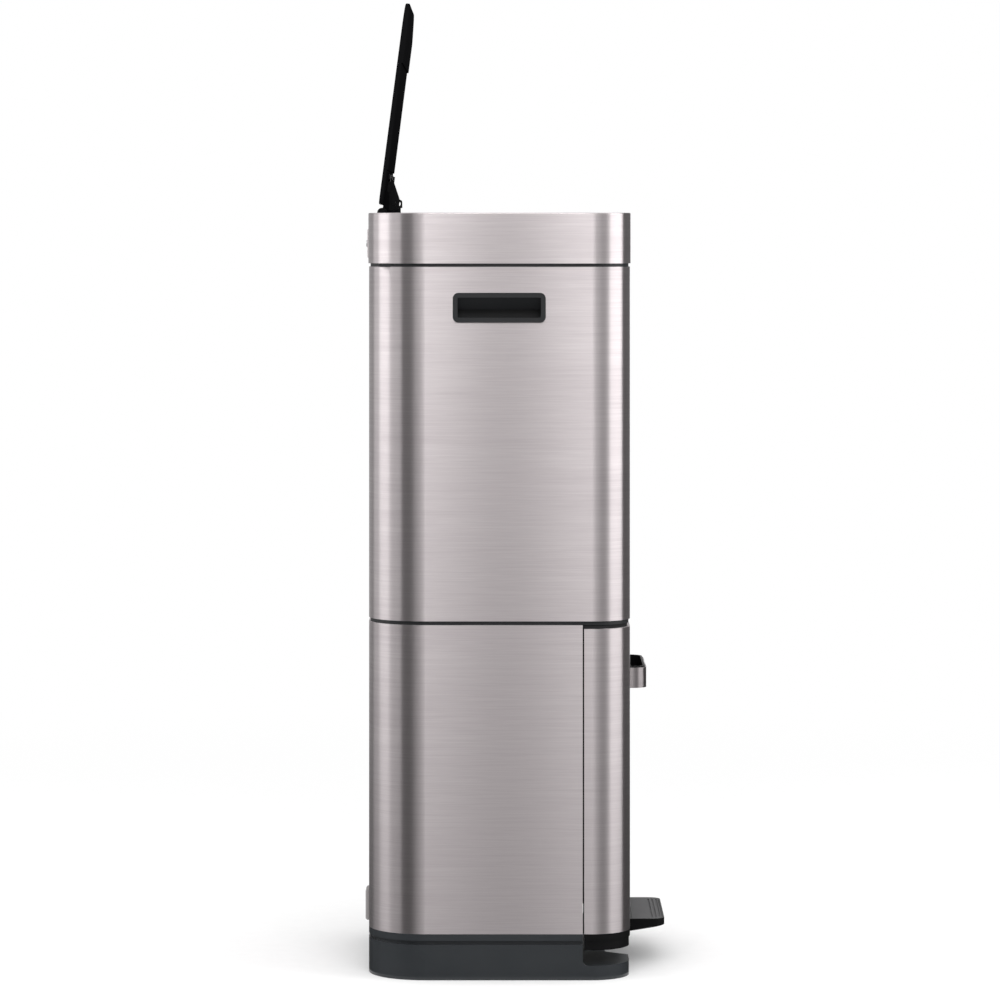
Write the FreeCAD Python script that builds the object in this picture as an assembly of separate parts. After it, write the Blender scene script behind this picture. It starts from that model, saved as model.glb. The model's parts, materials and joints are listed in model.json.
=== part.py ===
import FreeCAD, Part
import math
import os

# A recycling bin of two compartments: an upper bucket under a pedal lid and a lower one in a pull-out drawer.
# Millimetres, +Z up. The front faces -Y and the origin is on the floor, under the centre of the body.
# Everything is drawn as it stands with the lid open, the pedal down and the drawer shut.

# Body and sections, from the floor up
body_width = 320.0
body_depth = 275.0
front_corner = 41.0
back_corner = 60.0
base_height = 48.0
lower_height = 322.0
seam_height = 4.0
upper_height = 369.5
collar_seam = 3.5
rim_height = 53.0
steel = 0.8           # sheet of every steel skin
hem = 8.0             # flange folded inwards along a skin's edge
rim_proud = 0.7       # how far the rim band stands out of the skins
rim_fold = 5.0        # the rim band's edge folded inwards on top
deck_skirt = 18.0     # the mid frame's skirt inside the lower skin
collar_skirt = 15.0   # the top collar's skirt inside the upper skin
plastic = 3.0         # wall of the large mouldings
thin_wall = 2.0       # wall of the small mouldings and of the buckets
seam_inset = 1.6      # how far the dark seams lie behind the steel
fit_gap = 0.3         # between mouldings and what they slip into
pivot_gap = 0.05      # round a pin in its bore

# Base
floor_slab = 15.0     # floor plate, floor to top
skirt_top = 37.0
collar_foot = 41.0    # underside of the collar, above the groove
collar_width = 12.0
groove_depth = 3.3
slab_setback = 1.2    # floor plate's front edge behind the front
recess_depth = 24.0   # hollow in the floor plate's front edge
recess_width = 180.0
recess_slope = 20.0
pad_radius = 13.0
pad_depth = 3.0
pad_inset = 42.0
rib_spacing = 70.0
skirt_curve = 6.0

# Drawer
drawer_wrap = 50.5    # from the front back to the upright seams
side_seam = 1.6
top_gap = 4.0         # over the drawer front
seal_gap = 0.5        # from the drawer's seal to what it closes on
seal_width = 4.5
apron_foot = 31.0
apron_inset = 1.2
notch_width = 160.0
notch_top = 75.0
notch_lining = 2.0
tray_height = 38.0
tray_inset = 12.0
tray_length = 211.5
tray_bottom = 4.0

# Runners, one on each side
rail_length = 160.0
rail_foot = 82.0
rail_height = 28.0
rail_depth = 10.2
rail_sheet = 1.5
rail_gap = 0.5

# Buckets
bucket_gap = 4.0
bucket_headroom = 20.5      # from the lower bucket up to the seam
upper_bucket_side = 27.0    # from the outside of the body to the bucket's side
upper_bucket_front = 16.0
duct_depth = 38.0           # the rod's space, from the inside of the back
duct_gap = 2.0
bucket_taper = 6.0
bucket_rim = 5.0
rim_lip = 3.0

# Hand grips
grip_width = 97.0
grip_height = 31.0
grip_drop = 42.5      # from the skin's top to the grip's centre
grip_border = 5.0
grip_proud = 1.0
grip_depth = 22.0
grip_corner = 6.0
grip_room = 9.0       # hollow above the mouth, where the fingers hook in
curtain_drop = 12.5
curtain_reach = 9.0

# Lid and hinge
hinge_from_back = 13.5
hinge_above_rim = 0.5
pin_radius = 2.5
knuckle_radius = 5.0
lid_open = 82.5       # degrees
lid_reach = 222.0     # from the hinge to the lid's front edge
lid_rise = 3.5        # outer face above the hinge
lid_root = 8.0        # from the hinge to the lid's back edge
lid_margin = 18.0     # from the body's side to the opening's side
lid_gap = 2.0
lid_corner = 30.0
lid_back_corner = 12.0
heel_length = 37.0
heel_depth = 3.6
lid_depth_back = 4.8
lid_depth_front = 4.4
lip_length = 64.0
lip_depth = 5.9
lip_run = 32.0
tip_depth = 4.2
lid_skin = 1.6
seat_width = 8.0
seat_depth = 3.0
seat_drop = 6.0       # from the rim's top to the seat
arm_inset = 58.0      # from the lid's side to the middle of an arm
arm_width = 12.0
arm_depth = 8.0
arm_length = 42.0
foot_depth = 18.0
ear_width = 8.0
ear_gap = 1.5

# Push rod and crank
crank_radius = 15.0
crank_pin_radius = 2.0
slot_gap = 0.5
rod_sheet = 3.0
rod_width = 9.0
eye_wall = 2.0
eye_round = 3.0
crank_wall = 2.7      # of the crank round its pin
guide_wall = 2.5
guide_depth = 12.0
duct_width = 48.0

# Pedal
pedal_width = 146.0
pedal_top = 50.2
pedal_thickness = 13.0
pedal_tip_thickness = 7.0
pedal_start = 1.5     # from the front of the body to the pedal
pedal_length = 36.8
pad_thickness = 2.5
pad_margin = 2.5
pedal_corner = 12.0
tread_count = 3
tread_spacing = 4.2   # between the grooves near the pedal's front edge
tread_width = 1.6
tread_depth = 1.0
axle_from_front = 117.5
axle_height = 33.0
axle_radius = 4.0
arm_bar = 5.0
arm_bar_width = 40.0
fork_width = 28.0
fork_tine = 4.0
lever_pin_radius = 3.0
bracket_sheet = 3.0

# Handle
handle_width = 130.0
handle_drop = 48.5    # from the top of the drawer front
handle_height = 23.0
handle_reach = 19.5
handle_corner = 15.0
handle_sheet = 1.5
insert_wall = 2.0

# Damper, pads and fasteners
damper_radius = 6.5
damper_offset = 13.0
damper_rise = 186.0   # above the deck
damper_length = 80.0
piston_radius = 1.5
screw_radius = 2.0
screw_head = 4.0
screw_head_height = 2.0
cover_width = 90.0
cover_rise = 5.0      # above the rim's foot
cover_height = 31.5
cover_proud = 3.0
bumper_rise = 19.0    # its centre above the base
bumper_height = 32.0
bumper_width = 30.0
bumper_proud = 4.2
bumper_offset = 70.0

# Places that follow from the sizes
half_width = body_width / 2
front_y = -body_depth / 2
back_y = body_depth / 2
split_y = front_y + drawer_wrap
drawer_edge_y = split_y - side_seam
lower_top = base_height + lower_height
deck_top = lower_top + seam_height
upper_top = deck_top + upper_height
rim_foot = upper_top + collar_seam
rim_top = rim_foot + rim_height
drawer_top = lower_top - top_gap
tray_floor = notch_top + 3.5
hinge_y = back_y - hinge_from_back
hinge_z = rim_top + hinge_above_rim
lid_half = half_width - lid_margin - lid_gap
arm_offset = lid_half - arm_inset
grip_centre = upper_top - grip_drop
handle_top = drawer_top - handle_drop
damper_foot = deck_top + damper_rise
cover_foot = rim_foot + cover_rise
bumper_centre = base_height + bumper_rise
half_swing = math.radians(lid_open / 2)
rod_rise = 2 * crank_radius * math.sin(half_swing)
crank_reach = crank_radius * math.cos(half_swing)
rod_y = hinge_y - crank_reach
crank_pin_z = hinge_z + rod_rise / 2
axle_y = front_y + axle_from_front
lever_pin_z = axle_height + rod_rise / 2
slot_y = hinge_y - (crank_reach + crank_radius) / 2
slot_half = (crank_radius - crank_reach) / 2 + crank_pin_radius + fit_gap
inside_y = back_y - steel
far = 2000.0


# ---------- solids ----------

def vec(x, y, z):
    return FreeCAD.Vector(x, y, z)


def box(x0, x1, y0, y1, z0, z1):
    return Part.makeBox(x1 - x0, y1 - y0, z1 - z0, vec(x0, y0, z0))


def rod_x(x0, x1, y, z, radius):
    return Part.makeCylinder(radius, x1 - x0, vec(x0, y, z), vec(1, 0, 0))


def rod_z(x, y, z0, z1, radius):
    return Part.makeCylinder(radius, z1 - z0, vec(x, y, z0), vec(0, 0, 1))


def rod_towards(x, y, z, direction, length, radius):
    return Part.makeCylinder(radius, length, vec(x, y, z), direction)


def prism_x(points, x0, x1):
    """A polygon of (y, z) points drawn out from x0 to x1."""
    corners = [vec(x0, y, z) for y, z in points]
    face = Part.Face(Part.makePolygon(corners + corners[:1]))
    return face.extrude(vec(x1 - x0, 0, 0))


def prism_z(points, z0, z1):
    """A polygon of (x, y) points drawn out from z0 to z1."""
    corners = [vec(x, y, z0) for x, y in points]
    face = Part.Face(Part.makePolygon(corners + corners[:1]))
    return face.extrude(vec(0, 0, z1 - z0))


def rounded(shape, radius, wanted):
    """Round the straight edges whose middle point passes the test."""
    edges = [e for e in shape.Edges if wanted(e)]
    return shape.makeFillet(radius, edges)


def upright(edge):
    a, b = edge.Vertexes[0].Point, edge.Vertexes[-1].Point
    return abs(a.x - b.x) < 1e-6 and abs(a.y - b.y) < 1e-6 and abs(a.z - b.z) > 1e-6


def across(edge):
    a, b = edge.Vertexes[0].Point, edge.Vertexes[-1].Point
    return abs(a.y - b.y) < 1e-6 and abs(a.z - b.z) < 1e-6 and abs(a.x - b.x) > 1e-6


def plan_box(x0, x1, y0, y1, z0, z1, front_radius, back_radius):
    """A box whose upright edges are rounded, front and back by their own radius."""
    middle = (y0 + y1) / 2
    shape = box(x0, x1, y0, y1, z0, z1)
    shape = rounded(shape, front_radius, lambda e: upright(e) and e.CenterOfMass.y < middle)
    return rounded(shape, back_radius, lambda e: upright(e) and e.CenterOfMass.y > middle)


def body(inset, z0, z1):
    """The body's outline, drawn in by an inset."""
    return plan_box(-half_width + inset, half_width - inset, front_y + inset, back_y - inset,
                    z0, z1, front_corner - inset, back_corner - inset)


def band(outer_inset, inner_inset, z0, z1):
    return body(outer_inset, z0, z1).cut(body(inner_inset, z0 - 1, z1 + 1))


def behind_split(shape):
    return shape.common(box(-far, far, split_y, far, -far, far))


def before_split(shape):
    return shape.common(box(-far, far, -far, drawer_edge_y, -far, far))


def joined(*shapes):
    return shapes[0].multiFuse(list(shapes[1:])).removeSplitter()


def mirrored(shape):
    return shape.mirror(vec(0, 0, 0), vec(1, 0, 0))


def both_sides(shape):
    return Part.makeCompound([shape, mirrored(shape)])


def save(node, shape):
    shape.exportStep("parts/" + node + ".step")
    print(node, len(shape.Solids), shape.isValid(), round(shape.Volume / 1000, 1), "cm3")


# ---------- base ----------

def floor_outline(inset, z0, z1):
    return plan_box(-half_width + inset, half_width - inset, front_y + slab_setback + inset,
                    back_y - inset, z0, z1, front_corner - inset, back_corner - inset)


def front_recess(extra, z0, z1):
    """The hollow in the floor plate's front edge, with sloping ends."""
    half = recess_width / 2 + extra
    deep = front_y + slab_setback + recess_depth + extra
    return prism_z([(-half, front_y - 1), (half, front_y - 1), (half - recess_slope, deep),
                    (recess_slope - half, deep)], z0, z1)


def pad_places():
    x = half_width - pad_inset
    return [(sx * x, sy * (back_y - pad_inset)) for sx in (-1, 1) for sy in (-1, 1)]


def base_ribs():
    deck_foot = floor_slab - plastic
    count = int(body_width / rib_spacing / 2)
    places = [i * rib_spacing for i in range(-count, count + 1)]
    return [box(x - 1, x + 1, front_y, back_y, 1, deck_foot) for x in places]


def base_tray():
    deck_foot = floor_slab - plastic
    slab = floor_outline(0, 0, floor_slab).cut(front_recess(0, -1, floor_slab + 1))
    hollow = floor_outline(plastic, -1, deck_foot).cut(front_recess(plastic, -2, floor_slab))
    bosses = [rod_z(x, y, 0, deck_foot, pad_radius + thin_wall) for x, y in pad_places()]
    shell = slab.cut(hollow).multiFuse([hollow.common(r) for r in base_ribs() + bosses])
    skirt = behind_split(band(0, plastic, floor_slab, skirt_top))
    shell = joined(shell, skirt, skirt_foot(), mirrored(skirt_foot()))
    for x, y in pad_places():
        shell = shell.cut(rod_z(x, y, -1, pad_depth, pad_radius))
    return shell


def skirt_foot():
    """The small curve where the skirt's front edge runs into the floor plate."""
    y, z, r = split_y, floor_slab, skirt_curve
    square = box(-half_width, -half_width + plastic, y - r, y, z, z + r)
    curve = square.cut(rod_x(-half_width - 1, -half_width + plastic + 1, y - r, z + r, r))
    return curve.common(body(0, z, z + r))


def floor_pads():
    return Part.makeCompound([rod_z(x, y, 0, pad_depth, pad_radius) for x, y in pad_places()])


def base_collar():
    collar = behind_split(band(0, collar_width, collar_foot, base_height))
    spigot = behind_split(band(groove_depth, groove_depth + plastic, skirt_top - hem, collar_foot))
    return joined(collar, spigot)


# ---------- steel skins ----------

def skin(z0, z1):
    wall = band(0, steel, z0, z1)
    foot = band(0, hem, z0, z0 + steel)
    top = band(0, hem, z1 - steel, z1)
    return joined(wall, foot, top)


def edge_flange(y0, z0, z1):
    """The flange folded inwards at a skin's upright edge."""
    return box(-half_width, -half_width + hem, y0, y0 + steel, z0, z1)


def lower_shell():
    flange = edge_flange(split_y, base_height, lower_top)
    shell = joined(behind_split(skin(base_height, lower_top)), flange, mirrored(flange))
    way = box(-half_width + steel, half_width - steel, split_y - 1, split_y + 2 * steel,
              rail_foot - 1, rail_foot + rail_height + 1)
    return shell.cut(way)


def grip_hole(border, x0, x1):
    w, h = grip_width / 2 - border, grip_height / 2 - border
    hole = box(x0, x1, -w, w, grip_centre - h, grip_centre + h)
    along = [e for e in hole.Edges if abs(e.tangentAt(e.FirstParameter).x) > 0.9]
    return hole.makeFillet(max(grip_corner - border, 1.5), along)


def upper_shell():
    shell = skin(deck_top, upper_top)
    return shell.cut(grip_hole(grip_border / 2, -far, far))


def rim_band():
    outer = body(-rim_proud, rim_foot, rim_top)
    outer = outer.makeFillet(1.2, [e for e in outer.Edges if e.CenterOfMass.z > rim_top - 1e-6])
    inner = body(steel - rim_proud, rim_foot - 1, rim_top - steel)
    mouth = body(rim_fold - rim_proud, rim_foot, rim_top + 1)
    return outer.cut(inner).cut(mouth)


def drawer_notch(extra, z1):
    half = notch_width / 2 + extra
    return box(-half, half, front_y - 1, split_y, 0, z1 + extra)


def drawer_front():
    wrap = before_split(skin(base_height, drawer_top))
    flange = edge_flange(drawer_edge_y - steel, base_height, drawer_top)
    wrap = joined(wrap, flange, mirrored(flange)).cut(drawer_notch(0, notch_top))
    x = handle_width / 2 - handle_corner
    for side in (-1, 1):
        hole = rod_towards(side * x, front_y - 1, handle_top - handle_height / 2, vec(0, 1, 0), 5,
                           screw_radius + fit_gap)
        wrap = wrap.cut(hole)
    return wrap


# ---------- mouldings between the skins ----------

def rod_hole(z0, z1):
    """Clears the push rod's guide, where it passes through a deck."""
    x = rod_sheet / 2 + guide_wall + 2 * fit_gap
    y = rod_width / 2 + guide_wall + 2 * fit_gap
    return box(-x, x, slot_y - y, slot_y + y, z0, z1)


def mid_frame():
    deck = body(seam_inset, lower_top, deck_top)
    skirt = behind_split(band(hem + fit_gap, hem + fit_gap + plastic, lower_top - deck_skirt, lower_top))
    return joined(deck, skirt).cut(rod_hole(lower_top - deck_skirt - 1, deck_top + 1))


def top_collar():
    seat = band(seam_inset, collar_width + seam_inset, upper_top, rim_foot)
    lower = band(hem + fit_gap, collar_width + seam_inset, upper_top - collar_skirt, upper_top)
    upper = band(seam_inset, seam_inset + plastic, rim_foot, rim_foot + collar_width)
    shelf = box(-half_width + collar_width, half_width - collar_width, inside_y - duct_depth,
                back_y - collar_width, upper_top, rim_foot)
    return joined(seat, lower, upper, shelf).cut(rod_hole(upper_top - 1, rim_foot + 1))


def bay_edge():
    return hinge_y - foot_depth - fit_gap - 1


def lid_outline(extra, z0, z1):
    half = lid_half + extra
    return plan_box(-half, half, hinge_y - lid_reach - extra, hinge_y - lid_root + extra, z0, z1,
                    lid_corner + extra, lid_back_corner + extra)


def rim_frame():
    top = rim_top - steel
    seat_z = rim_top - seat_drop
    inset = steel - rim_proud + fit_gap
    wall = band(inset, inset + plastic, rim_foot + collar_width + fit_gap, top)
    deck = body(inset, seat_z - seat_depth, top)
    deck = deck.cut(lid_outline(lid_gap, seat_z, top + 1))
    deck = deck.cut(lid_outline(-seat_width, seat_z - seat_depth - 1, seat_z + 1))
    well = body(inset + plastic, seat_z - seat_depth - 1, top - plastic)
    deck = deck.cut(well.cut(lid_outline(lid_gap + thin_wall, seat_z - seat_depth - 2, top)))
    bay = box(-bay_half(), bay_half(), bay_edge(), back_y - inset - plastic, rim_foot, top + 1)
    return joined(wall, deck).cut(bay)


def bay_half():
    return arm_offset + arm_width / 2 + 2 * ear_gap + ear_width + plastic


# ---------- hinge ----------

def ear_places():
    """The ears stand at both sides of each arm."""
    step = arm_width / 2 + ear_gap
    inner, outer = arm_offset - step - ear_width, arm_offset + step
    return [(-outer - ear_width, -outer), (-inner - ear_width, -inner),
            (inner, inner + ear_width), (outer, outer + ear_width)]


def hinge_housing():
    floor_z = rim_foot + collar_width + thin_wall
    half = bay_half() - fit_gap
    back = back_y + rim_proud - steel - fit_gap
    y0, y1 = bay_edge() + fit_gap, back - plastic - 2 * fit_gap
    floor_plate = box(-half, half, y0, y1, floor_z, floor_z + plastic)
    wall = box(-half, half, y1 - thin_wall, y1, floor_z, rim_top - steel - fit_gap)
    front = box(-half, half, y0, y0 + thin_wall, floor_z, rim_top - seat_drop - seat_depth)
    shape = joined(floor_plate, wall, front)
    for x0, x1 in ear_places():
        ear = prism_x([(hinge_y - knuckle_radius, floor_z), (y1, floor_z), (y1, rim_top - seat_drop),
                       (hinge_y + knuckle_radius, hinge_z), (hinge_y - knuckle_radius, hinge_z)],
                      x0, x1)
        shape = shape.fuse(ear).fuse(rod_x(x0, x1, hinge_y, hinge_z, knuckle_radius))
    shape = shape.cut(rod_x(-far, far, hinge_y, hinge_z, pin_radius + pivot_gap))
    return shape.removeSplitter().cut(rod_hole(floor_z - 1, rim_top)).cut(crank_notch())


def crank_notch():
    """Lets the crank's cheeks dip into the front wall when the lid is shut."""
    half = crank_half() + ear_gap
    foot = hinge_z - rod_rise / 2 - crank_pin_radius - crank_wall - ear_gap
    return box(-half, half, bay_edge(), bay_edge() + 2 * thin_wall, foot, rim_top)


def pin_half():
    return arm_offset + arm_width / 2 + ear_gap + ear_width + 3


def hinge_pin():
    pin = rod_x(-pin_half(), pin_half(), hinge_y, hinge_z, pin_radius)
    groove = rod_x(pin_half() - 2, pin_half() - 1, hinge_y, hinge_z, pin_radius + 1)
    groove = groove.cut(rod_x(-far, far, hinge_y, hinge_z, pin_radius - 0.6))
    return pin.cut(groove).cut(mirrored(groove))


def pin_clips():
    x = pin_half() - 2
    clip = rod_x(x + 0.1, x + 0.9, hinge_y, hinge_z, pin_radius + 2)
    clip = clip.cut(rod_x(-far, far, hinge_y, hinge_z, pin_radius - 0.5))
    clip = clip.cut(box(-far, far, hinge_y - 1.8, hinge_y + 1.8, hinge_z, hinge_z + 9))
    return both_sides(clip)


def rear_cover():
    y = back_y + rim_proud
    cover = box(-cover_width / 2, cover_width / 2, y, y + cover_proud, cover_foot,
                cover_foot + cover_height)
    return rounded(cover, 2.0, lambda e: e.CenterOfMass.y > y + cover_proud - 1e-6)


def lid_buffers():
    z = rim_top - seat_drop
    x = lid_half - seat_width / 2
    top = hinge_z + lid_rise - lip_depth - fit_gap
    y = hinge_y - lid_reach + lip_run
    return both_sides(rod_z(x, y, z, top, 2.5))


# ---------- lid ----------

def opened(shape):
    """Turn a piece of the shut lid about the hinge to where it stands open."""
    turned = shape.copy()
    turned.rotate(vec(0, hinge_y, hinge_z), vec(1, 0, 0), -lid_open)
    return turned


def lid_point(along, depth):
    """A point of the shut lid: along it from the hinge, and below its outer face."""
    return (hinge_y - along, hinge_z + lid_rise - depth)


def heel_end():
    return lid_root + heel_length


def lip_start():
    return lid_reach - lip_length


def underside(raise_by):
    """The lid's underside from heel to tip, raised by a wall, with its steps kept one wall thick."""
    step = raise_by
    return [(heel_end(), heel_depth - raise_by), (heel_end() + step, lid_depth_back - raise_by),
            (lip_start() + step, lid_depth_front - raise_by), (lip_start() + step, lip_depth - raise_by),
            (lip_start() + lip_run, lip_depth - raise_by), (lid_reach - step, tip_depth - raise_by)]


def lid_body():
    points = [(lid_root, 0), (lid_root, heel_depth)] + underside(0) + [(lid_reach, 0)]
    profile = prism_x([lid_point(u, t) for u, t in points], -half_width, half_width)
    return profile.common(lid_outline(0, hinge_z - 50, hinge_z + 50))


def lid_shell():
    shell = lid_body()
    top = hinge_z + lid_rise
    rim = [e for e in shell.Edges if e.CenterOfMass.z > top - 1e-6]
    shell = shell.makeFillet(1.5, rim)
    cavity = lid_outline(-lid_skin, hinge_z - 50, top - lid_skin)
    shell = shell.cut(cavity.common(box(-far, far, -far, hinge_y - heel_end(), -far, far)))
    return shell.cut(rod_pocket())


def rod_pocket():
    """Room under the heel for the head of the push rod."""
    half = rod_sheet / 2 + ear_gap
    y, z = lid_point(crank_radius + slot_half + eye_wall + 2, heel_depth + 1)
    return box(-half, half, y, hinge_y, z, hinge_z + lid_rise - thin_wall)


def lid_liner():
    """The cover of the underside, one wall thick under the lid's hollow."""
    top = [(heel_end(), lid_depth_back - lid_skin)] + underside(lid_skin)[2:]
    bottom = [(heel_end(), lid_depth_back)] + underside(0)[2:]
    points = bottom + top[::-1]
    layer = prism_x([lid_point(u, t) for u, t in points], -half_width, half_width)
    inside = lid_outline(-lid_skin - fit_gap / 2, hinge_z - 50, hinge_z + 50)
    return layer.common(inside).common(box(-far, far, -far, hinge_y - heel_end() - fit_gap, -far, far))


def arm_profile():
    """The arm from the side: flat under the lid's heel, then a foot that hides the gap when open."""
    return [lid_point(u, t) for u, t in (
        (arm_length, heel_depth), (arm_length, heel_depth + 2), (arm_length / 2 + 3, heel_depth + 2),
        (arm_length / 2, arm_depth), (knuckle_radius, arm_depth + 2),
        (-1.5, foot_depth), (-knuckle_radius, foot_depth - 1),
        (-knuckle_radius, lid_rise), (lid_root, lid_rise), (lid_root, heel_depth))]


def lid_arm(x):
    arm = prism_x(arm_profile(), x - arm_width / 2, x + arm_width / 2)
    arm = joined(arm, rod_x(x - arm_width / 2, x + arm_width / 2, hinge_y, hinge_z, knuckle_radius))
    arm = arm.cut(rod_x(-far, far, hinge_y, hinge_z, pin_radius + pivot_gap))
    return arm


def crank_half():
    return rod_sheet / 2 + ear_gap + plastic


def lid_crank():
    """Two cheeks under the lid's heel, with the pin between them that the rod lifts."""
    inner, outer = crank_half() - plastic, crank_half()
    pin_y, pin_z = hinge_y - crank_reach, hinge_z - rod_rise / 2
    cheek_depth = lid_rise + rod_rise / 2 + crank_pin_radius + crank_wall
    cheek = prism_x([lid_point(u, t) for u, t in (
        (arm_length, heel_depth), (arm_length, heel_depth + 2), (crank_reach + 5, cheek_depth),
        (crank_reach - 4, cheek_depth), (-4, heel_depth), (-4, lid_rise),
        (lid_root, lid_rise), (lid_root, heel_depth))], inner, outer)
    knuckle = rod_x(inner, outer, hinge_y, hinge_z, knuckle_radius)
    cheek = cheek.fuse(knuckle).cut(rod_x(-far, far, hinge_y, hinge_z, pin_radius + pivot_gap))
    cheek = cheek.cut(rod_x(-far, far, pin_y, pin_z, crank_pin_radius + pivot_gap))
    bridge = prism_x([lid_point(u, t) for u, t in (
        (heel_length - 8, heel_depth), (arm_length, heel_depth), (arm_length, heel_depth + 2),
        (heel_length - 8, heel_depth + 2))], -inner, inner)
    return joined(cheek, mirrored(cheek), bridge)


def crank_pin():
    outer = crank_half() + 1
    return rod_x(-outer, outer, hinge_y - crank_reach, hinge_z - rod_rise / 2, crank_pin_radius)


def lid_screws():
    """Screw heads that hold the arms to the lid's heel."""
    heads = []
    y, z = lid_point(arm_length - 5, heel_depth + 2 + screw_head_height)
    for x in (-arm_offset, arm_offset):
        heads.append(rod_z(x, y, z, z + screw_head_height, screw_head))
    return Part.makeCompound(heads)


# ---------- push rod ----------

def push_rod():
    half = rod_sheet / 2
    foot_z, head_z = lever_pin_z, crank_pin_z
    bar = box(-half, half, slot_y - rod_width / 2, slot_y + rod_width / 2, foot_z, head_z)
    head_half = slot_half + eye_wall
    head_rise = crank_pin_radius + slot_gap + eye_wall
    head = box(-half, half, slot_y - head_half, slot_y + head_half, head_z - head_rise,
               head_z + head_rise)
    head = rounded(head, eye_round, lambda e: across(e) and e.CenterOfMass.z > head_z)
    foot_rise = lever_pin_radius + fit_gap + eye_wall
    foot = box(-half, half, rod_y - foot_rise - 1, rod_y + foot_rise + 1, foot_z - foot_rise,
               foot_z + foot_rise)
    rod = joined(bar, head, foot)
    rod = rod.cut(slot(slot_y, head_z, slot_half - crank_pin_radius - fit_gap,
                       crank_pin_radius + slot_gap))
    return rod.cut(slot(rod_y, foot_z, 1.0, lever_pin_radius + fit_gap))


def slot(y, z, half_run, radius):
    """A slot across the rod: two round ends and the run between them."""
    ends = [rod_x(-10, 10, y + s * half_run, z, radius) for s in (-1, 1)]
    return ends[0].fuse(ends[1]).fuse(box(-10, 10, y - half_run, y + half_run, z - radius, z + radius))


def rod_guide(z0):
    """A bush in the deck, with a flange on top and the rod's slot through it."""
    x = rod_sheet / 2 + guide_wall + fit_gap
    y = rod_width / 2 + guide_wall + fit_gap
    bush = box(-x, x, slot_y - y, slot_y + y, z0 - guide_depth / 2, z0)
    flange = box(-x - 2, x + 2, slot_y - y - 2, slot_y + y + 2, z0, z0 + thin_wall)
    gap_x, gap_y = rod_sheet / 2 + fit_gap, rod_width / 2 + fit_gap
    way = box(-gap_x, gap_x, slot_y - gap_y, slot_y + gap_y, 0, far)
    return bush.fuse(flange).cut(way)


def rod_duct(z0, z1):
    """A channel on the inside of the back, round the rod."""
    half = duct_width / 2
    y0 = inside_y - duct_depth + duct_gap
    outer = box(-half, half, y0, inside_y, z0, z1)
    return outer.cut(box(-half + thin_wall, half - thin_wall, y0 + thin_wall, back_y, z0 - 1, z1 + 1))


# ---------- damper ----------

def damper_y():
    return inside_y - damper_radius - plastic


def damper_cylinder():
    y, top = damper_y(), damper_foot + damper_length
    tube = rod_z(damper_offset, y, damper_foot, top, damper_radius)
    tube = tube.cut(rod_z(damper_offset, y, damper_foot + 3, top - 3, damper_radius - 1.5))
    return tube.cut(rod_z(damper_offset, y, top - 4, top + 1, piston_radius + pivot_gap))


def damper_clips():
    """Saddles that hold the damper on the back."""
    clips = []
    for z in (damper_foot + 6, damper_foot + damper_length - 14):
        clip = box(damper_offset - damper_radius - 1, damper_offset + damper_radius + 1,
                   damper_y(), inside_y, z, z + 8)
        clips.append(clip.cut(rod_z(damper_offset, damper_y(), z - 1, z + 9, damper_radius + 0.1)))
    return Part.makeCompound(clips)


def damper_arm_z():
    return damper_foot + damper_length + rod_rise + 10


def damper_piston():
    y = damper_y()
    rod = rod_z(damper_offset, y, damper_foot + rod_rise + 12, damper_arm_z() + 4, piston_radius)
    disc = rod_z(damper_offset, y, damper_foot + rod_rise + 8, damper_foot + rod_rise + 12,
                 damper_radius - 1.5 - pivot_gap)
    return rod.fuse(disc).removeSplitter()


def damper_arm():
    """A plate on the push rod that carries the damper's piston."""
    z, half = damper_arm_z(), rod_sheet / 2
    arm = box(-half - thin_wall, damper_offset + 4, slot_y - rod_width / 2 - thin_wall,
              damper_y() + 4, z, z + 4)
    arm = arm.cut(box(-half, half, slot_y - rod_width / 2, slot_y + rod_width / 2, z - 1, z + 5))
    return arm.cut(rod_z(damper_offset, damper_y(), z - 1, z + 5, piston_radius))


# ---------- pedal ----------

def pedal_arm():
    """The rocker: a bar from the pedal to the axle, and a fork behind it."""
    half = arm_bar_width / 2
    front = front_y - pedal_start - pedal_length + pad_margin + thin_wall
    top = pedal_top - pad_thickness - thin_wall
    bar = prism_x([(front, top - arm_bar), (front_y + 8, top - arm_bar), (axle_y, axle_height - arm_bar),
                   (axle_y, axle_height), (front_y + 8, top), (front, top)], -half, half)
    barrel = rod_x(-half, half, axle_y, axle_height, axle_radius + plastic)
    tine = prism_x([(axle_y, axle_height - arm_bar), (rod_y, lever_pin_z - lever_pin_radius - 2),
                    (rod_y, lever_pin_z + lever_pin_radius + 2), (axle_y, axle_height + arm_bar)],
                   fork_width / 2 - fork_tine, fork_width / 2)
    eye = rod_x(fork_width / 2 - fork_tine, fork_width / 2, rod_y, lever_pin_z, lever_pin_radius + 3)
    arm = joined(bar, barrel, tine, eye, mirrored(tine), mirrored(eye))
    arm = arm.cut(rod_x(-far, far, axle_y, axle_height, axle_radius + pivot_gap))
    return arm.cut(rod_x(-far, far, rod_y, lever_pin_z, lever_pin_radius + pivot_gap))


def lever_pin():
    half = fork_width / 2 + 1.5
    return rod_x(-half, half, rod_y, lever_pin_z, lever_pin_radius)


def pedal_axle():
    half = arm_bar_width / 2 + 2 * ear_gap + bracket_sheet
    return rod_x(-half, half, axle_y, axle_height, axle_radius)


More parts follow.
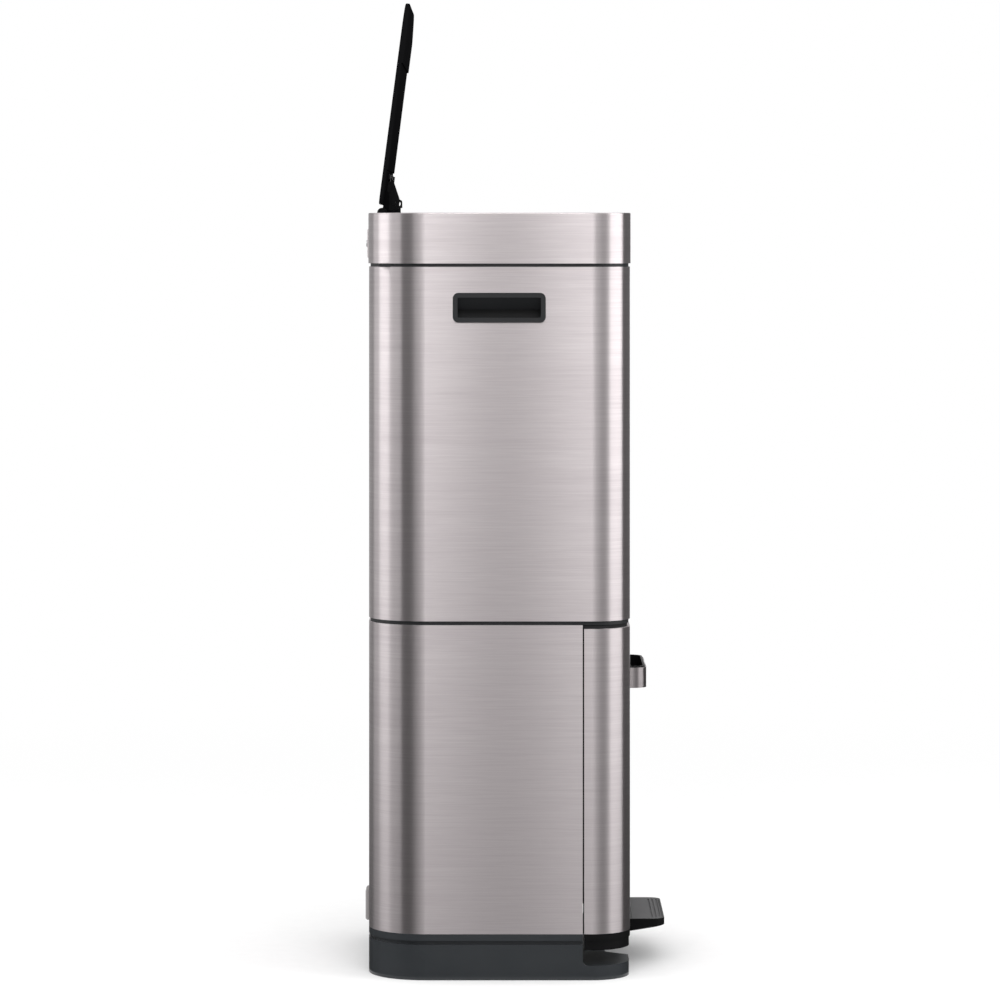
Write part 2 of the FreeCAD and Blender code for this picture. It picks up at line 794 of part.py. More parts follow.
def pedal_bracket():
    inner = arm_bar_width / 2 + ear_gap
    outer = inner + bracket_sheet
    z0, wide = floor_slab, axle_radius + 8
    foot = box(-outer - 14, outer + 14, axle_y - wide, axle_y + wide, z0, z0 + bracket_sheet)
    ear = prism_x([(axle_y - wide, z0), (axle_y + wide, z0), (axle_y + 7, axle_height + 5),
                   (axle_y - 7, axle_height + 5)], inner, outer)
    bracket = joined(foot, ear, mirrored(ear))
    return bracket.cut(rod_x(-far, far, axle_y, axle_height, axle_radius + pivot_gap))


def pedal_edges():
    y1 = front_y - pedal_start
    return y1 - pedal_length, y1


def pedal_plate():
    y0, y1 = pedal_edges()
    half, top = pedal_width / 2, pedal_top - pad_thickness
    plate = prism_x([(y0, pedal_top - pedal_tip_thickness), (y1, pedal_top - pedal_thickness),
                     (y1, top), (y0, top)], -half, half)
    plate = rounded(plate, pedal_corner, lambda e: upright(e) and e.CenterOfMass.y < y0 + 1)
    rim = plan_box(-half, half, y0, y1, top, pedal_top, pedal_corner, 0.5)
    rim = rim.cut(pad_outline(fit_gap, top - 1, pedal_top + 1))
    plate = joined(plate, rim)
    arm_half = arm_bar_width / 2 + 0.1
    arm_top = pedal_top - pad_thickness - thin_wall + 0.1
    front = y0 + pad_margin + thin_wall - 0.1
    return plate.cut(box(-arm_half, arm_half, front, y1 + 1, arm_top - arm_bar - 0.2, arm_top))


def pad_outline(extra, z0, z1):
    y0, y1 = pedal_edges()
    half = pedal_width / 2 - pad_margin + extra
    return plan_box(-half, half, y0 + pad_margin - extra, y1 - pad_margin + extra, z0, z1,
                    pedal_corner - pad_margin + extra, 1)


def pedal_pad():
    """The tread, with grooves along the pedal's front edge."""
    y0 = pedal_edges()[0] + pad_margin
    pad = pad_outline(0, pedal_top - pad_thickness, pedal_top)
    half = pedal_width / 2 - pedal_corner
    for i in range(tread_count):
        y = y0 + tread_spacing * (i + 0.5)
        pad = pad.cut(box(-half, half, y - tread_width / 2, y + tread_width / 2,
                          pedal_top - tread_depth, pedal_top + 1))
    return pad


# ---------- drawer ----------

def drawer_trim():
    """The collar and apron under the drawer front, open where the pedal rises."""
    collar = before_split(band(0, collar_width, collar_foot, base_height))
    apron = before_split(band(apron_inset, apron_inset + plastic, apron_foot, collar_foot))
    trim = joined(collar, apron).cut(drawer_notch(0, notch_top))
    lining = drawer_notch(0, notch_top).cut(drawer_notch(-notch_lining, notch_top))
    lining = lining.common(box(-far, far, front_y, front_y + collar_width, collar_foot, far))
    return joined(trim, lining)


def drawer_seals():
    """A rubber seal on the drawer front's edges: over its top and up both upright seams."""
    inset = 2 * seam_inset
    top = before_split(band(inset, inset + seal_width, drawer_top, lower_top - seal_gap))
    strip = box(-half_width + inset, -half_width + inset + seal_width, drawer_edge_y,
                split_y - seal_gap, base_height + steel, lower_top - seal_gap)
    return joined(top, strip, mirrored(strip))


def drawer_liner():
    """The moulding that backs the steel front and carries the tray."""
    inset = steel + fit_gap
    z0, z1 = base_height + steel, drawer_top - steel
    wall = before_split(band(hem + fit_gap, hem + fit_gap + thin_wall, z0, z1))
    pads = before_split(band(inset, hem + fit_gap, z0 + 4, z0 + 4 + thin_wall))
    top_pads = before_split(band(inset, hem + fit_gap, z1 - thin_wall, z1))
    shelf = before_split(body(inset, tray_floor - thin_wall, tray_floor))
    limit = box(-far, far, -far, drawer_edge_y - steel - fit_gap, -far, far)
    shape = joined(wall, pads, top_pads, shelf).common(limit)
    return shape.cut(drawer_notch(fit_gap, notch_top))


def drawer_tray():
    inset = tray_inset + thin_wall + fit_gap
    y0 = front_y + inset
    x = half_width - tray_side()
    radius = front_corner - inset
    y1 = y0 + tray_length
    outer = plan_box(-x, x, y0, y1, tray_floor, tray_floor + tray_height, radius, 12)
    inner = plan_box(-x + plastic, x - plastic, y0 + plastic, y1 - plastic,
                     tray_floor + tray_bottom, far, radius - plastic, 12 - plastic)
    return outer.cut(inner)


def tray_side():
    """From the body's side to the tray's: the skin, then the runner."""
    return steel + rail_depth + rail_gap


def runner_y():
    return split_y + steel + 2


def channel(x0, x1, z0, z1, sheet, y0, y1):
    """A rail open towards the inside of the cabinet, on the side of negative x."""
    return box(x0, x1, y0, y1, z0, z1).cut(box(x0 + sheet, x1 + 1, y0 - 1, y1 + 1, z0 + sheet,
                                              z1 - sheet))


def cabinet_rail():
    x0 = -half_width + steel
    return channel(x0, x0 + rail_depth, rail_foot, rail_foot + rail_height, rail_sheet,
                   runner_y(), runner_y() + rail_length)


def middle_rail():
    x0 = -half_width + steel + rail_sheet + rail_gap
    step = rail_sheet + rail_gap
    return channel(x0, -half_width + steel + rail_depth, rail_foot + step,
                   rail_foot + rail_height - step, rail_sheet, runner_y(), runner_y() + rail_length)


def drawer_rail():
    x0 = -half_width + steel + 2 * (rail_sheet + rail_gap)
    step = 2 * (rail_sheet + rail_gap)
    return box(x0, -half_width + tray_side(), runner_y(), runner_y() + rail_length,
               rail_foot + step, rail_foot + rail_height - step)


def handle_outline(inset, z0, z1):
    half = handle_width / 2 - inset
    y0 = front_y - handle_reach + inset
    return plan_box(-half, half, y0, front_y, z0, z1, handle_corner - inset, 0.5)


def handle_shell():
    """The steel pull: a band bent to a long D, with a floor."""
    z0 = handle_top - handle_height
    inner = handle_outline(handle_sheet, z0 + handle_sheet, handle_top + 1)
    shell = handle_outline(0, z0, handle_top - 1.5).cut(inner)
    return shell


def handle_insert():
    """The black lining that the fingers meet, closed at the back by its own wall."""
    z0 = handle_top - handle_height + handle_sheet
    inset = handle_sheet + 0.05
    block = handle_outline(inset, z0, handle_top)
    room = insert_wall + inset
    half = handle_width / 2 - room
    hollow = plan_box(-half, half, front_y - handle_reach + room, front_y - insert_wall,
                      z0 + insert_wall, handle_top + 1, handle_corner - room, 3)
    insert = block.cut(hollow)
    x = handle_width / 2 - handle_corner
    for side in (-1, 1):
        insert = insert.cut(rod_towards(side * x, front_y - 9, handle_top - handle_height / 2,
                                        vec(0, 1, 0), 12, screw_radius + fit_gap))
    return insert


def handle_screws():
    screws = []
    x, z = handle_width / 2 - handle_corner, handle_top - handle_height / 2
    y = front_y - insert_wall
    for side in (-1, 1):
        shank = rod_towards(side * x, y, z, vec(0, 1, 0), insert_wall + 6, screw_radius)
        head = rod_towards(side * x, y - screw_head_height, z, vec(0, 1, 0), screw_head_height,
                           screw_head)
        screws.append(head.fuse(shank))
    return Part.makeCompound(screws)


# ---------- buckets ----------

def bucket(x, y0, y1, z0, z1, front_radius, back_radius):
    """A bucket a little narrower at its foot, with a flange round the top."""
    tall = z1 - z0
    taper = bucket_taper
    outer = tapered(x, y0, y1, z0, z1, front_radius, back_radius, taper)
    inner = tapered(x - thin_wall, y0 + thin_wall, y1 - thin_wall, z0 + thin_wall, z1 + 1,
                    front_radius - thin_wall, back_radius - thin_wall, taper)
    flange = plan_box(-x - bucket_rim, x + bucket_rim, y0 - rim_lip, y1 + rim_lip, z0 + tall - rim_lip,
                      z1, front_radius + rim_lip, back_radius + rim_lip)
    return joined(outer, flange).cut(inner)


def outline_wire(x, y0, y1, z, front_radius, back_radius):
    face = plan_box(-x, x, y0, y1, z, z + 1, front_radius, back_radius)
    low = [f for f in face.Faces if f.CenterOfMass.z < z + 1e-6]
    return low[0].OuterWire


def tapered(x, y0, y1, z0, z1, front_radius, back_radius, taper):
    foot = outline_wire(x - taper, y0 + taper, y1 - taper, z0, front_radius, back_radius)
    top = outline_wire(x, y0, y1, z1, front_radius, back_radius)
    return Part.makeLoft([foot, top], True, True)


def lower_bucket():
    y0 = front_y + tray_inset + thin_wall + fit_gap + plastic + bucket_gap
    y1 = y0 + tray_length - 2 * plastic - 2 * bucket_gap
    x = half_width - tray_side() - plastic - bucket_gap
    z0 = tray_floor + tray_bottom
    return bucket(x, y0, y1, z0, lower_top - bucket_headroom, 26, 12)


def upper_bucket():
    x = half_width - upper_bucket_side
    y0 = front_y + upper_bucket_front + rim_lip
    y1 = inside_y - duct_depth - rim_lip
    return bucket(x, y0, y1, deck_top, rim_foot + rim_lip + fit_gap, 26, 12)


# ---------- grips, covers, pads and fasteners ----------

def grip_cup():
    """The left grip: a bezel, a slanted curtain, and the hollow that the fingers hook into."""
    x_face = -half_width
    x_in = x_face + steel + grip_depth
    w = grip_width / 2 - grip_border + thin_wall
    z0 = grip_centre - grip_height / 2 - 1
    z1 = grip_centre + grip_height / 2 + grip_room
    bezel = grip_hole(0, x_face - grip_proud, x_face)
    neck = grip_hole(grip_border / 2 + fit_gap, x_face - 0.2, x_face + steel + fit_gap)
    case = box(x_face + steel + fit_gap / 2, x_in, -w, w, z0, z1)
    room = box(x_face + steel + thin_wall, x_in - thin_wall, -w + thin_wall, w - thin_wall,
               z0 + thin_wall, z1 - thin_wall)
    mouth = grip_hole(grip_border, x_face - 5, x_face + steel + thin_wall + 1)
    cup = joined(bezel, neck, case).cut(room).cut(mouth)
    top = grip_centre + grip_height / 2 - grip_border
    curtain = [(x_face + 0.4, top), (x_face + 0.4 + curtain_reach, top - curtain_drop),
               (x_face + 0.4 + curtain_reach + thin_wall, top - curtain_drop),
               (x_face + 0.4 + thin_wall + 1.5, top + 1), (x_face + 0.4, top + 1)]
    corners = [vec(x, -w + thin_wall, z) for x, z in curtain]
    face = Part.Face(Part.makePolygon(corners + corners[:1]))
    return joined(cup, face.extrude(vec(0, 2 * (w - thin_wall), 0)))


def wall_bumpers():
    """Rounded rubber pads low on the back."""
    pads = []
    for side in (-1, 1):
        x = side * bumper_offset
        pad = box(x - bumper_width / 2, x + bumper_width / 2, back_y, back_y + bumper_proud,
                  bumper_centre - bumper_height / 2, bumper_centre + bumper_height / 2)
        pads.append(rounded(pad, 2.5, lambda e: e.CenterOfMass.y > back_y + bumper_proud - 1e-6))
    return Part.makeCompound(pads)


def bracket_screws():
    screws = []
    x = arm_bar_width / 2 + ear_gap + bracket_sheet + 8
    for side in (-1, 1):
        screws.append(rod_z(side * x, axle_y, floor_slab + bracket_sheet,
                            floor_slab + bracket_sheet + screw_head_height, screw_head))
    return Part.makeCompound(screws)


def cover_screws():
    y = back_y + rim_proud + cover_proud
    z = cover_foot + cover_height / 2
    x = cover_width / 2 - 10
    return Part.makeCompound([rod_towards(s * x, y, z, vec(0, 1, 0), 1.0, screw_head - 0.5)
                              for s in (-1, 1)])


def build():
    save("base_tray", base_tray())
    save("floor_pads", floor_pads())
    save("base_collar", base_collar())
    save("lower_shell", lower_shell())
    save("mid_frame", mid_frame())
    save("upper_shell", upper_shell())
    save("grip_cup_left", grip_cup())
    save("grip_cup_right", mirrored(grip_cup()))
    save("top_collar", top_collar())
    save("rim_band", rim_band())
    save("rim_frame", rim_frame())
    save("hinge_housing", hinge_housing())
    save("hinge_pin", hinge_pin())
    save("pin_clips", pin_clips())
    save("rear_cover", rear_cover())
    save("cover_screws", cover_screws())
    save("lid_buffers", lid_buffers())
    save("lid_shell", opened(lid_shell()))
    save("lid_liner", opened(lid_liner()))
    save("lid_arm_left", opened(lid_arm(-arm_offset)))
    save("lid_arm_right", opened(lid_arm(arm_offset)))
    save("lid_screws", opened(lid_screws()))
    save("lid_crank", opened(lid_crank()))
    save("crank_pin", opened(crank_pin()))
    save("push_rod", push_rod())
    save("rod_guide_lower", rod_guide(deck_top))
    save("rod_guide_upper", rod_guide(rim_foot))
    save("rod_duct_lower", rod_duct(base_height + 18, lower_top - deck_skirt - 2))
    save("rod_duct_upper", rod_duct(deck_top + 4, upper_top - collar_skirt - 2))
    save("damper_cylinder", damper_cylinder())
    save("damper_clips", damper_clips())
    save("damper_piston", damper_piston())
    save("damper_arm", damper_arm())
    save("pedal_arm", pedal_arm())
    save("lever_pin", lever_pin())
    save("pedal_axle", pedal_axle())
    save("pedal_bracket", pedal_bracket())
    save("bracket_screws", bracket_screws())
    save("pedal_plate", pedal_plate())
    save("pedal_pad", pedal_pad())
    save("upper_bucket", upper_bucket())
    save("drawer_front", drawer_front())
    save("drawer_trim", drawer_trim())
    save("drawer_seals", drawer_seals())
    save("drawer_liner", drawer_liner())
    save("drawer_tray", drawer_tray())
    save("lower_bucket", lower_bucket())
    save("handle_shell", handle_shell())
    save("handle_insert", handle_insert())
    save("handle_screws", handle_screws())
    for side, place in (("left", lambda s: s), ("right", mirrored)):
        save("cabinet_rail_" + side, place(cabinet_rail()))
        save("middle_rail_" + side, place(middle_rail()))
        save("drawer_rail_" + side, place(drawer_rail()))
    save("wall_bumpers", wall_bumpers())


os.makedirs("parts", exist_ok=True)
build()
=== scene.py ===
import json
import math

import bmesh
import bpy
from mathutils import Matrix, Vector

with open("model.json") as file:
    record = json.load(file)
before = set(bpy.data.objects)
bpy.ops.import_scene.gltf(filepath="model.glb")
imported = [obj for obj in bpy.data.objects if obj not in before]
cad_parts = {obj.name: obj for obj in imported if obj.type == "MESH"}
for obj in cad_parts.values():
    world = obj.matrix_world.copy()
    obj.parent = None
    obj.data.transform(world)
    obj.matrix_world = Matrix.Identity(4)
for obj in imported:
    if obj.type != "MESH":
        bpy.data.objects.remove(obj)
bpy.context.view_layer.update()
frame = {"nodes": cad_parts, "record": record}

nodes = frame["nodes"]
bodyOf = {name: body for body, names in frame["record"]["behaviour"]["bodies"].items() for name in names}
slotOf = {part["node"]: part["material_slot"] for part in frame["record"]["subparts"]}


def linear(hexColour):
    channels = [int(hexColour[i:i + 2], 16) / 255 for i in (1, 3, 5)]
    return tuple(c / 12.92 if c <= 0.04045 else ((c + 0.055) / 1.055) ** 2.4 for c in channels) + (1,)


def addNode(tree, kind, settings={}, values={}, links={}):
    made = tree.nodes.new(kind)
    for name, value in settings.items():
        setattr(made, name, value)
    for name, value in values.items():
        made.inputs[name].default_value = value
    for name, source in links.items():
        tree.links.new(source, made.inputs[name])
    return made


def newMaterial(name):
    material = bpy.data.materials.new(name)
    material.use_nodes = True
    tree = material.node_tree
    tree.nodes.clear()
    place = addNode(tree, "ShaderNodeTexCoord").outputs["Object"]
    return material, tree, place


def finishMaterial(tree, shader):
    addNode(tree, "ShaderNodeOutputMaterial", links={"Surface": shader.outputs[0]})


print("materials")

# 430 stainless steel, brushed along the sheet with a fine belt: hairlines 0.1 to 0.3 mm apart and a few
# centimetres long, which spread every reflection up and down and leave it sharp sideways
steelFinish = {
    "name": "brushedStainlessSteel", "lightColour": "#d2cbcc", "darkColour": "#c6bec0",
    "roughness": 0.36, "roughnessSpread": 0.03, "anisotropic": 0.98, "quarterTurn": 0.25,
    "lineRun": 0.045, "lineStep": 0.0009,          # metres; drawn coarser than 0.2 mm, so that they show
    "streakRun": 0.16, "streakStep": 0.0032,       # single longer scratches that the belt leaves
    "bandRun": 0.60, "bandStep": 0.030,            # where the belt bore harder or softer
    "lineShare": 0.50, "streakShare": 0.30, "bandShare": 0.20,
    "darkFrom": 0.36, "lightFrom": 0.64,           # where the sum of the three reaches either colour
    "lineDepth": 0.000010, "lineStrength": 0.25,
}
# the handle is bent from a duller sheet
handleFinish = dict(steelFinish, name="brushedHandleSteel", lightColour="#a8a2a3", darkColour="#9b9596")


def stretchedNoise(tree, place, run, step, detail):
    scaled = addNode(tree, "ShaderNodeMapping", values={"Scale": (1 / run, 1 / run, 1 / step)},
                     links={"Vector": place})
    return addNode(tree, "ShaderNodeTexNoise", values={"Scale": 1, "Detail": detail, "Roughness": 0.55},
                   links={"Vector": scaled.outputs[0]}).outputs[0]


def brushedSteel(finish):
    material, tree, place = newMaterial(finish["name"])
    lines = stretchedNoise(tree, place, finish["lineRun"], finish["lineStep"], 3)
    streaks = stretchedNoise(tree, place, finish["streakRun"], finish["streakStep"], 2)
    bands = stretchedNoise(tree, place, finish["bandRun"], finish["bandStep"], 1)
    withStreaks = addNode(tree, "ShaderNodeMath", {"operation": "MULTIPLY_ADD"},
                          {1: finish["streakShare"]}, {0: streaks})
    lineShare = addNode(tree, "ShaderNodeMath", {"operation": "MULTIPLY"}, {1: finish["lineShare"]},
                        {0: lines})
    tree.links.new(lineShare.outputs[0], withStreaks.inputs[2])
    withBands = addNode(tree, "ShaderNodeMath", {"operation": "MULTIPLY_ADD"}, {1: finish["bandShare"]},
                        {0: bands, 2: withStreaks.outputs[0]})
    share = addNode(tree, "ShaderNodeMapRange", values={"From Min": finish["darkFrom"],
                                                       "From Max": finish["lightFrom"]},
                    links={"Value": withBands.outputs[0]})
    colour = addNode(tree, "ShaderNodeMix", {"data_type": "RGBA"},
                     {6: linear(finish["darkColour"]), 7: linear(finish["lightColour"])},
                     {0: share.outputs[0]})
    rough = addNode(tree, "ShaderNodeMapRange", values={
        "To Min": finish["roughness"] + finish["roughnessSpread"],
        "To Max": finish["roughness"] - finish["roughnessSpread"]}, links={"Value": share.outputs[0]})
    bump = addNode(tree, "ShaderNodeBump", values={"Strength": finish["lineStrength"],
                                                   "Distance": finish["lineDepth"]},
                   links={"Height": lines})
    tangent = addNode(tree, "ShaderNodeTangent", {"direction_type": "RADIAL", "axis": "Z"})
    shader = addNode(tree, "ShaderNodeBsdfPrincipled",
                     values={"Metallic": 1.0, "Anisotropic": finish["anisotropic"],
                             "Anisotropic Rotation": finish["quarterTurn"]},
                     links={"Base Color": colour.outputs[2], "Roughness": rough.outputs[0],
                            "Normal": bump.outputs[0], "Tangent": tangent.outputs[0]})
    finishMaterial(tree, shader)
    return material


cloudScale = 14        # clouds about 70 mm across, where the mould filled a little duller or glossier


def mouldedPlastic(name, finish):
    # a sparked mould leaves a fine grain, which scatters the gloss a little and shows as faint specks
    material, tree, place = newMaterial(name)
    grain = addNode(tree, "ShaderNodeTexNoise", values={"Scale": 1 / finish["grain"], "Detail": 2,
                                                        "Roughness": 0.55}, links={"Vector": place})
    cloud = addNode(tree, "ShaderNodeTexNoise", values={"Scale": cloudScale, "Detail": 3},
                    links={"Vector": place})
    colour = addNode(tree, "ShaderNodeMix", {"data_type": "RGBA"},
                     {6: linear(finish["darkColour"]), 7: linear(finish["lightColour"])},
                     {0: cloud.outputs[0]})
    rough = addNode(tree, "ShaderNodeMapRange", values={"From Min": 0.3, "From Max": 0.7,
                                                       "To Min": finish["roughness"] - 0.04,
                                                       "To Max": finish["roughness"] + 0.05},
                    links={"Value": cloud.outputs[0]})
    bump = addNode(tree, "ShaderNodeBump", values={"Strength": finish["grainStrength"],
                                                   "Distance": finish["grainDepth"]},
                   links={"Height": grain.outputs[0]})
    shader = addNode(tree, "ShaderNodeBsdfPrincipled",
                     values={"IOR": finish["ior"], "Specular IOR Level": finish["specular"]},
                     links={"Base Color": colour.outputs[2], "Roughness": rough.outputs[0],
                            "Normal": bump.outputs[0]})
    finishMaterial(tree, shader)
    return material


absCharcoal = {"darkColour": "#272a2d", "lightColour": "#2d3033", "roughness": 0.34, "ior": 1.53,
               "specular": 0.4, "grain": 0.0009, "grainDepth": 0.00004, "grainStrength": 0.4}
absBlack = {"darkColour": "#0b0b0c", "lightColour": "#101011", "roughness": 0.46, "ior": 1.53,
            "specular": 0.1, "grain": 0.0009, "grainDepth": 0.00003, "grainStrength": 0.4}
lidAbs = {"darkColour": "#0d0d0e", "lightColour": "#121213", "roughness": 0.8, "ior": 1.53,
          "specular": 0.0, "grain": 0.0007, "grainDepth": 0.00004, "grainStrength": 0.4}
recessAbs = {"darkColour": "#18191b", "lightColour": "#1e1f21", "roughness": 0.46, "ior": 1.53,
             "specular": 0.3, "grain": 0.0009, "grainDepth": 0.00003, "grainStrength": 0.4}
bucketPolypropylene = {"darkColour": "#232427", "lightColour": "#292a2d", "roughness": 0.42, "ior": 1.49,
                       "specular": 0.3, "grain": 0.0012, "grainDepth": 0.00003, "grainStrength": 0.4}
padRubber = {"darkColour": "#1c1c1d", "lightColour": "#222223", "roughness": 0.8, "ior": 1.52,
             "specular": 0.2, "grain": 0.0006, "grainDepth": 0.00005, "grainStrength": 0.6}
bumperRubber = {"darkColour": "#8a8787", "lightColour": "#939090", "roughness": 0.8, "ior": 1.52,
                "specular": 0.2, "grain": 0.0006, "grainDepth": 0.00005, "grainStrength": 0.6}
treadRubber = {"darkColour": "#5a5a5b", "lightColour": "#5f5f60", "roughness": 0.75, "ior": 1.52,
               "specular": 0.2, "grain": 0.0007, "grainDepth": 0.00006, "grainStrength": 0.6}
zincPlate = {"name": "zincPlatedSteel", "darkColour": "#a8a9ab", "lightColour": "#bcbdbf", "roughness": 0.34,
             "spangle": 0.004}
blackPlate = {"name": "blackPlatedSteel", "darkColour": "#1b1b1c", "lightColour": "#252526",
              "roughness": 0.42, "spangle": 0.003}


def platedSteel(finish):
    # zinc plating over mild steel, bright or blackened: a cloudy, slightly uneven metal
    material, tree, place = newMaterial(finish["name"])
    cloud = addNode(tree, "ShaderNodeTexNoise", values={"Scale": 1 / finish["spangle"], "Detail": 3},
                    links={"Vector": place})
    colour = addNode(tree, "ShaderNodeMix", {"data_type": "RGBA"},
                     {6: linear(finish["darkColour"]), 7: linear(finish["lightColour"])},
                     {0: cloud.outputs[0]})
    rough = addNode(tree, "ShaderNodeMapRange", values={"To Min": finish["roughness"] - 0.08,
                                                       "To Max": finish["roughness"] + 0.08},
                    links={"Value": cloud.outputs[0]})
    shader = addNode(tree, "ShaderNodeBsdfPrincipled", values={"Metallic": 1.0},
                     links={"Base Color": colour.outputs[2], "Roughness": rough.outputs[0]})
    finishMaterial(tree, shader)
    return material


finishes = {
    "brushed_steel": brushedSteel(steelFinish),
    "charcoal_plastic": mouldedPlastic("charcoalAbs", absCharcoal),
    "black_plastic": mouldedPlastic("blackAbs", absBlack),
    "bucket_plastic": mouldedPlastic("darkPolypropylene", bucketPolypropylene),
    "rubber": mouldedPlastic("blackPadRubber", padRubber),
    "pedal_rubber": mouldedPlastic("greyTreadRubber", treadRubber),
    "grey_rubber": mouldedPlastic("greyBumperRubber", bumperRubber),
    "zinc_steel": platedSteel(zincPlate),
    "black_steel": platedSteel(blackPlate),
}

# the lid has a duller grain than the other black mouldings; the hand grips and the two rings that show
# as thin seams between the steel skins are a shade darker than the charcoal base
lidMatt = mouldedPlastic("mattBlackLidAbs", lidAbs)
ownFinish = {name: lidMatt for name in ("lid_shell", "lid_liner", "lid_arm_left", "lid_arm_right")}
recessBlack = mouldedPlastic("darkRecessAbs", recessAbs)
ownFinish |= {name: recessBlack for name in ("mid_frame", "top_collar", "grip_cup_left", "grip_cup_right")}
ownFinish["handle_shell"] = brushedSteel(handleFinish)

for name, node in nodes.items():
    finish = ownFinish.get(name, finishes[slotOf[name]])
    if node.material_slots:
        node.material_slots[0].material = finish
    else:
        node.data.materials.append(finish)

print("studio")

studio = {
    "floorColour": "#f2f2f2", "floorHalf": 30.0, "plainFloor": 0.5, "whiteFloor": 2.4,
    "worldColour": "#ffffff", "speckColour": "#eeeeee", "speckScale": 60, "sensorWidth": 36, "clipEnd": 100,
    "lens": 152.0, "cameraFromSide": 4.4, "bodySide": 0.16, "cameraHeight": 0.776,
    "cameraAlong": -0.0008, "shiftY": -0.2643,
}


def paleFloor(settings):
    # a matt white sweep that runs out into the white of the room, so that no edge of it shows
    material, tree, place = newMaterial("paleStudioFloor")
    speck = addNode(tree, "ShaderNodeTexNoise", values={"Scale": settings["speckScale"], "Detail": 2},
                    links={"Vector": place})
    colour = addNode(tree, "ShaderNodeMix", {"data_type": "RGBA"},
                     {6: linear(settings["speckColour"]), 7: linear(settings["floorColour"])},
                     {0: speck.outputs[0]})
    matt = addNode(tree, "ShaderNodeBsdfPrincipled", values={"Roughness": 0.95, "Specular IOR Level": 0.0},
                   links={"Base Color": colour.outputs[2]})
    white = addNode(tree, "ShaderNodeEmission", values={"Color": linear(settings["worldColour"])})
    distance = addNode(tree, "ShaderNodeVectorMath", {"operation": "LENGTH"}, links={0: place})
    share = addNode(tree, "ShaderNodeMapRange", {"interpolation_type": "SMOOTHSTEP"},
                    {"From Min": settings["plainFloor"], "From Max": settings["whiteFloor"]},
                    {"Value": distance.outputs["Value"]})
    finishMaterial(tree, addNode(tree, "ShaderNodeMixShader",
                                 links={0: share.outputs[0], 1: matt.outputs[0], 2: white.outputs[0]}))
    shape = bmesh.new()
    bmesh.ops.create_grid(shape, x_segments=2, y_segments=2, size=settings["floorHalf"])
    mesh = bpy.data.meshes.new("studioFloor")
    shape.to_mesh(mesh)
    shape.free()
    floor = bpy.data.objects.new("studioFloor", mesh)
    mesh.materials.append(material)
    bpy.context.scene.collection.objects.link(floor)


paleFloor(studio)

world = bpy.data.worlds.new("paleWorld")
world.use_nodes = True
world.node_tree.nodes["Background"].inputs["Color"].default_value = linear(studio["worldColour"])
world.node_tree.nodes["Background"].inputs["Strength"].default_value = 1.0
bpy.context.scene.world = world


def around(degrees, distance):
    # a place on the floor, by its angle at the bin: 0 is the camera's side and 90 the back
    turn = math.radians(degrees)
    return -distance * math.cos(turn), distance * math.sin(turn)


# dark cards stand round the bin, as photographers set them, and draw the dark bands along its corners;
# a dark ring on the floor dims the steel towards its foot. They are there for its gloss alone, so they
# neither show nor shade the floor. Angles are those of around().
cards = {
    "backSide": {"start": 9, "end": 49, "distance": 2.0, "top": 1.7, "shade": 0.10},
    "frontSide": {"start": -46, "end": -12, "distance": 2.0, "top": 2.3, "shade": 0.68},
    "farBack": {"start": 125, "end": 168, "distance": 2.0, "top": 2.6, "shade": 0.42},
    "farFront": {"start": -162, "end": -101, "distance": 2.0, "top": 2.6, "shade": 0.16},
    "cameraSide": {"start": -3.2, "end": 2.4, "distance": 1.15, "top": 1.5, "shade": 0.2},
}
cardSteps = 8
floorRing = {"inner": 0.12, "outer": 2.2, "height": 0.003, "steps": 64, "shade": 0.04}


def darkCard(name, shape, shade):
    material, tree, place = newMaterial(name + "Card")
    finishMaterial(tree, addNode(tree, "ShaderNodeEmission", values={"Color": (shade, shade, shade, 1)}))
    mesh = bpy.data.meshes.new(name + "Card")
    shape.to_mesh(mesh)
    shape.free()
    mesh.materials.append(material)
    card = bpy.data.objects.new(name + "Card", mesh)
    bpy.context.scene.collection.objects.link(card)
    card.visible_camera = card.visible_diffuse = card.visible_shadow = False


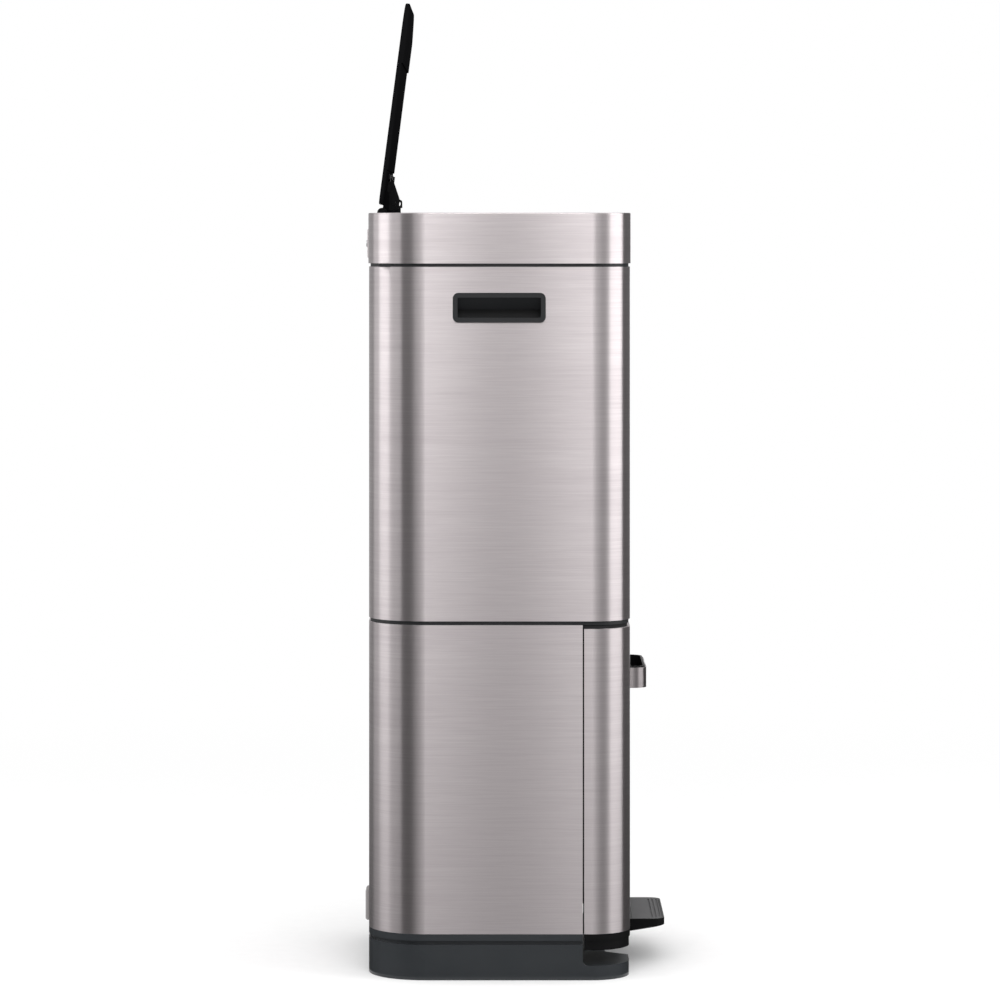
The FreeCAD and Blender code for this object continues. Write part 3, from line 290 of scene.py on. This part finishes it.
for name, card in cards.items():
    shape = bmesh.new()
    first = shape.verts.new((*around(card["start"], card["distance"]), 0))
    last = shape.verts.new((*around(card["start"], card["distance"]), card["top"]))
    upright = shape.edges.new((first, last))
    bmesh.ops.spin(shape, geom=[first, last, upright], cent=(0, 0, 0), axis=(0, 0, 1),
                   angle=math.radians(card["start"] - card["end"]), steps=cardSteps)
    darkCard(name, shape, card["shade"])

shape = bmesh.new()
inner = shape.verts.new((floorRing["inner"], 0, floorRing["height"]))
outer = shape.verts.new((floorRing["outer"], 0, floorRing["height"]))
bmesh.ops.spin(shape, geom=[inner, outer, shape.edges.new((inner, outer))], cent=(0, 0, 0), axis=(0, 0, 1),
               angle=math.radians(360), steps=floorRing["steps"], use_merge=True)
darkCard("floorRing", shape, floorRing["shade"])

# brightness 1 is as bright as the white of the room
softboxes = {
    "frontBox": {"place": (*around(-77, 1.9), 1.15), "aim": (0, 0, 0.9), "width": 1.6, "height": 1.9,
                 "brightness": 1.65},
    "backBox": {"place": (*around(90, 1.9), 1.2), "aim": (0, 0, 0.9), "width": 1.0, "height": 1.9,
                "brightness": 1.25},
    "topBox": {"place": (-2.2, 0.0, 2.0), "aim": (0, 0, 0.5), "width": 2.0, "height": 1.4,
               "brightness": 3.4},
}

for name, box in softboxes.items():
    lamp = bpy.data.lights.new(name, "AREA")
    lamp.shape = "RECTANGLE"
    lamp.size, lamp.size_y = box["width"], box["height"]
    lamp.energy = box["brightness"] * math.pi * box["width"] * box["height"]
    lampObject = bpy.data.objects.new(name, lamp)
    lampObject.location = box["place"]
    towards = Vector(box["aim"]) - Vector(box["place"])
    lampObject.rotation_euler = towards.to_track_quat("-Z", "Y").to_euler()
    lampObject.visible_camera = False
    bpy.context.scene.collection.objects.link(lampObject)

camera = bpy.data.cameras.new("sideCamera")
camera.lens, camera.shift_y = studio["lens"], studio["shiftY"]
camera.sensor_width, camera.clip_end = studio["sensorWidth"], studio["clipEnd"]
cameraObject = bpy.data.objects.new("sideCamera", camera)
cameraObject.location = (-studio["bodySide"] - studio["cameraFromSide"], studio["cameraAlong"],
                         studio["cameraHeight"])
cameraObject.rotation_euler = (math.radians(90), 0, math.radians(-90))
bpy.context.scene.collection.objects.link(cameraObject)
bpy.context.scene.camera = cameraObject
bpy.context.scene.view_settings.view_transform = "Standard"
